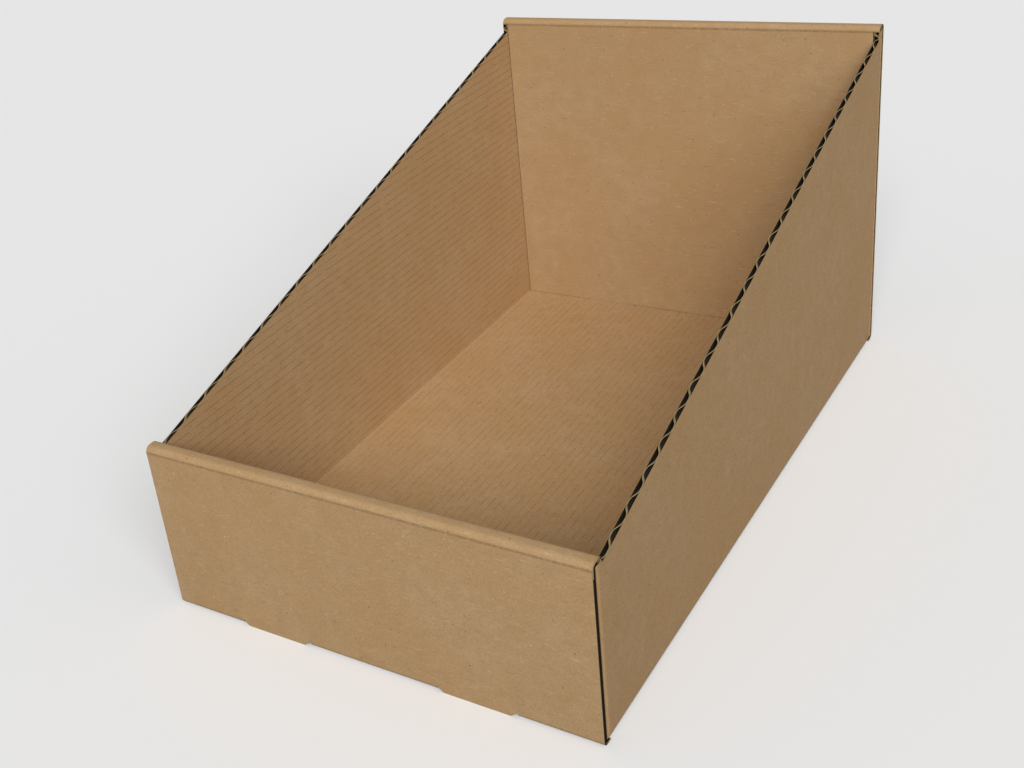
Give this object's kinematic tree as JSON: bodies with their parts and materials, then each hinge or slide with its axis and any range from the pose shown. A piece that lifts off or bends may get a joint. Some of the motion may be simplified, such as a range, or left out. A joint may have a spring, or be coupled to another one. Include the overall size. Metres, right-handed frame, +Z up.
{
  "type": "display tray",
  "caption": "Open-top corrugated display tray with a low front, sloping sides and a high back, folded from one blank.",
  "frame": {"origin": "middle of the base's underside, midway across the tray and midway from front to back", "axes": "+X to the right seen from the low front, +Y from the low front to the high back, +Z up"},
  "size_m": [0.25, 0.415, 0.2095],
  "materials": {
    "kraft_board": "uncoated brown kraft liner, matt"
  },
  "bodies": {
    "root": {"tray": "kraft_board"}
  },
  "joints": []
}
